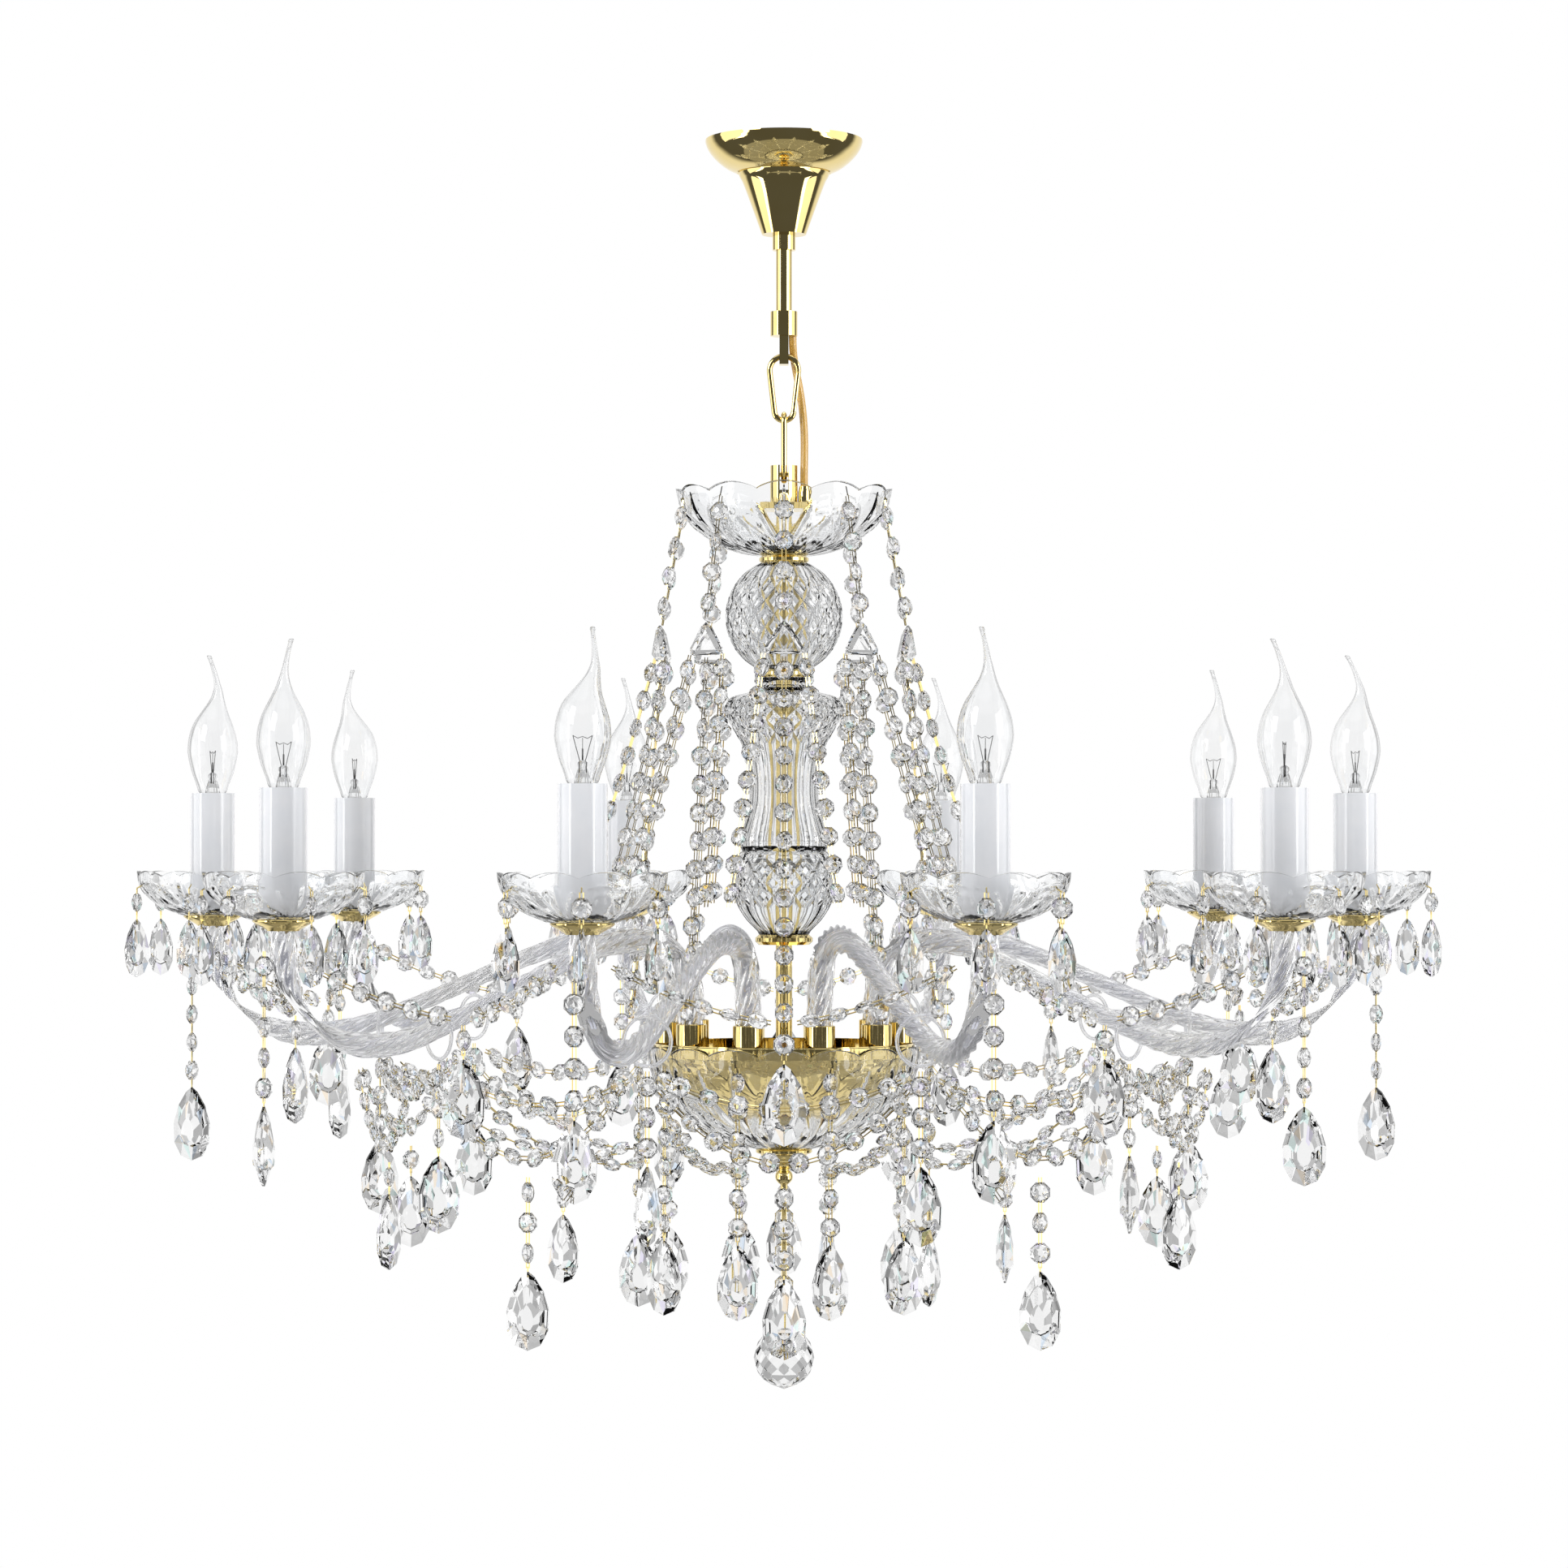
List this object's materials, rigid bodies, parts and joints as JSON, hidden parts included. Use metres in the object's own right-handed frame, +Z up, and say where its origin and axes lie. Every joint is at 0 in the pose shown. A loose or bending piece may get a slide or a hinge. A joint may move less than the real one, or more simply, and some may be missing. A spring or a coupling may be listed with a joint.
{
  "type": "multi arm chandelier",
  "caption": "Hanging glass chandelier with curved twisted arms, candle lamps over scalloped drip pans, a cut glass stem, bead strings, pear drops and a gold canopy.",
  "frame": {"origin": "middle of the ceiling bracket's upper face, in the ceiling plane", "axes": "+Z up into the ceiling, +X to the right and -Y to the front, half way between two arms"},
  "size_m": [0.9134, 0.8738, 0.87],
  "materials": {
    "polished_gold": "polished, mirror bright",
    "zinc_plate": "plain zinc plate",
    "terminal_plastic": "moulded",
    "amber_cable": "clear amber sheath over copper",
    "cut_glass": "clear pressed and cut glass",
    "clear_ring": "clear, smooth",
    "crystal": "clear, faceted and polished",
    "bulb_glass": "thin clear glass",
    "candle_white": "glossy white",
    "holder_plastic": "moulded",
    "arm_wire": "thin grey sheath"
  },
  "bodies": {
    "ceiling_fixing": {"ceiling_bracket": "zinc_plate", "rod_nut": "zinc_plate", "terminal_block": "terminal_plastic", "down_rod": "polished_gold", "rod_coupling": "polished_gold", "supply_cable_upper": "amber_cable"},
    "canopy": {"canopy_cup": "polished_gold", "canopy_cone": "polished_gold", "canopy_collar": "polished_gold", "collar_screw": "polished_gold"},
    "hook": {"snap_hook": "polished_gold", "gate_pin": "polished_gold"},
    "gate": {"hook_gate": "polished_gold"},
    "ball_drop": {"ball_wire": "polished_gold", "crystal_ball": "crystal"},
    "bulb_01_body": {"bulb_01": "bulb_glass"},
    "bulb_02_body": {"bulb_02": "bulb_glass"},
    "bulb_03_body": {"bulb_03": "bulb_glass"},
    "bulb_04_body": {"bulb_04": "bulb_glass"},
    "bulb_05_body": {"bulb_05": "bulb_glass"},
    "bulb_06_body": {"bulb_06": "bulb_glass"},
    "bulb_07_body": {"bulb_07": "bulb_glass"},
    "bulb_08_body": {"bulb_08": "bulb_glass"},
    "bulb_09_body": {"bulb_09": "bulb_glass"},
    "bulb_10_body": {"bulb_10": "bulb_glass"},
    "chandelier": {"chain_link": "polished_gold", "hanger_yoke": "polished_gold", "yoke_pin": "polished_gold", "centre_tube": "polished_gold", "stem_collars": "polished_gold", "hub_bowl": "polished_gold", "hub_plate": "polished_gold", "arm_sockets": "polished_gold", "finial": "polished_gold", "pan_plates": "polished_gold", "supply_cable_lower": "amber_cable", "cable_gland": "polished_gold", "top_dish": "cut_glass", "stem_ball": "cut_glass", "stem_vase": "cut_glass", "stem_bowl": "cut_glass", "bottom_dish": "cut_glass", "drip_pans": "cut_glass", "swag_rings": "clear_ring", "arm_wiring": "arm_wire", "candle_sleeves": "candle_white", "lampholders": "holder_plastic", "upper_strings": "crystal", "lower_strings": "crystal", "pear_drops": "crystal", "arm_01": "cut_glass", "arm_02": "cut_glass", "arm_03": "cut_glass", "arm_04": "cut_glass", "arm_05": "cut_glass", "arm_06": "cut_glass", "arm_07": "cut_glass", "arm_08": "cut_glass", "arm_09": "cut_glass", "arm_10": "cut_glass"}
  },
  "joints": [
    {"name": "canopy_slide", "type": "slide", "parent": "ceiling_fixing", "child": "canopy", "axis": [0, 0, -1], "range_m": [0, 0.0425]},
    {"name": "hook_swing", "type": "hinge", "parent": "ceiling_fixing", "child": "hook", "pos_m": [0, 0, -0.151], "axis": [1, 0, 0], "range_deg": [-15, 15], "deforming": ["supply_cable_upper", "supply_cable_lower"]},
    {"name": "gate_open", "type": "hinge", "parent": "hook", "child": "gate", "pos_m": [0.00694, 0, -0.18804], "axis": [0, -1, 0], "range_deg": [0, 22], "stiffness_Nm_per_rad": 0.02, "springref_deg": -22.92},
    {"name": "chandelier_swing", "type": "hinge", "parent": "hook", "child": "chandelier", "pos_m": [0, 0, -0.1917], "axis": [0, 1, 0], "range_deg": [-15, 15], "deforming": ["supply_cable_lower", "supply_cable_upper"]},
    {"name": "ball_swing", "type": "hinge", "parent": "chandelier", "child": "ball_drop", "pos_m": [0, 0, -0.737], "axis": [1, 0, 0], "range_deg": [-20, 20]},
    {"name": "bulb_01_turn", "type": "hinge", "parent": "chandelier", "child": "bulb_01_body", "pos_m": [0.12299, -0.37852, -0.47], "axis": [0, 0, 1], "range_deg": [0, 900]},
    {"name": "bulb_02_turn", "type": "hinge", "parent": "chandelier", "child": "bulb_02_body", "pos_m": [0.32199, -0.23394, -0.47], "axis": [0, 0, 1], "range_deg": [0, 900]},
    {"name": "bulb_03_turn", "type": "hinge", "parent": "chandelier", "child": "bulb_03_body", "pos_m": [0.398, 0, -0.47], "axis": [0, 0, 1], "range_deg": [0, 900]},
    {"name": "bulb_04_turn", "type": "hinge", "parent": "chandelier", "child": "bulb_04_body", "pos_m": [0.32199, 0.23394, -0.47], "axis": [0, 0, 1], "range_deg": [0, 900]},
    {"name": "bulb_05_turn", "type": "hinge", "parent": "chandelier", "child": "bulb_05_body", "pos_m": [0.12299, 0.37852, -0.47], "axis": [0, 0, 1], "range_deg": [0, 900]},
    {"name": "bulb_06_turn", "type": "hinge", "parent": "chandelier", "child": "bulb_06_body", "pos_m": [-0.12299, 0.37852, -0.47], "axis": [0, 0, 1], "range_deg": [0, 900]},
    {"name": "bulb_07_turn", "type": "hinge", "parent": "chandelier", "child": "bulb_07_body", "pos_m": [-0.32199, 0.23394, -0.47], "axis": [0, 0, 1], "range_deg": [0, 900]},
    {"name": "bulb_08_turn", "type": "hinge", "parent": "chandelier", "child": "bulb_08_body", "pos_m": [-0.398, 0, -0.47], "axis": [0, 0, 1], "range_deg": [0, 900]},
    {"name": "bulb_09_turn", "type": "hinge", "parent": "chandelier", "child": "bulb_09_body", "pos_m": [-0.32199, -0.23394, -0.47], "axis": [0, 0, 1], "range_deg": [0, 900]},
    {"name": "bulb_10_turn", "type": "hinge", "parent": "chandelier", "child": "bulb_10_body", "pos_m": [-0.12299, -0.37852, -0.47], "axis": [0, 0, 1], "range_deg": [0, 900]}
  ]
}
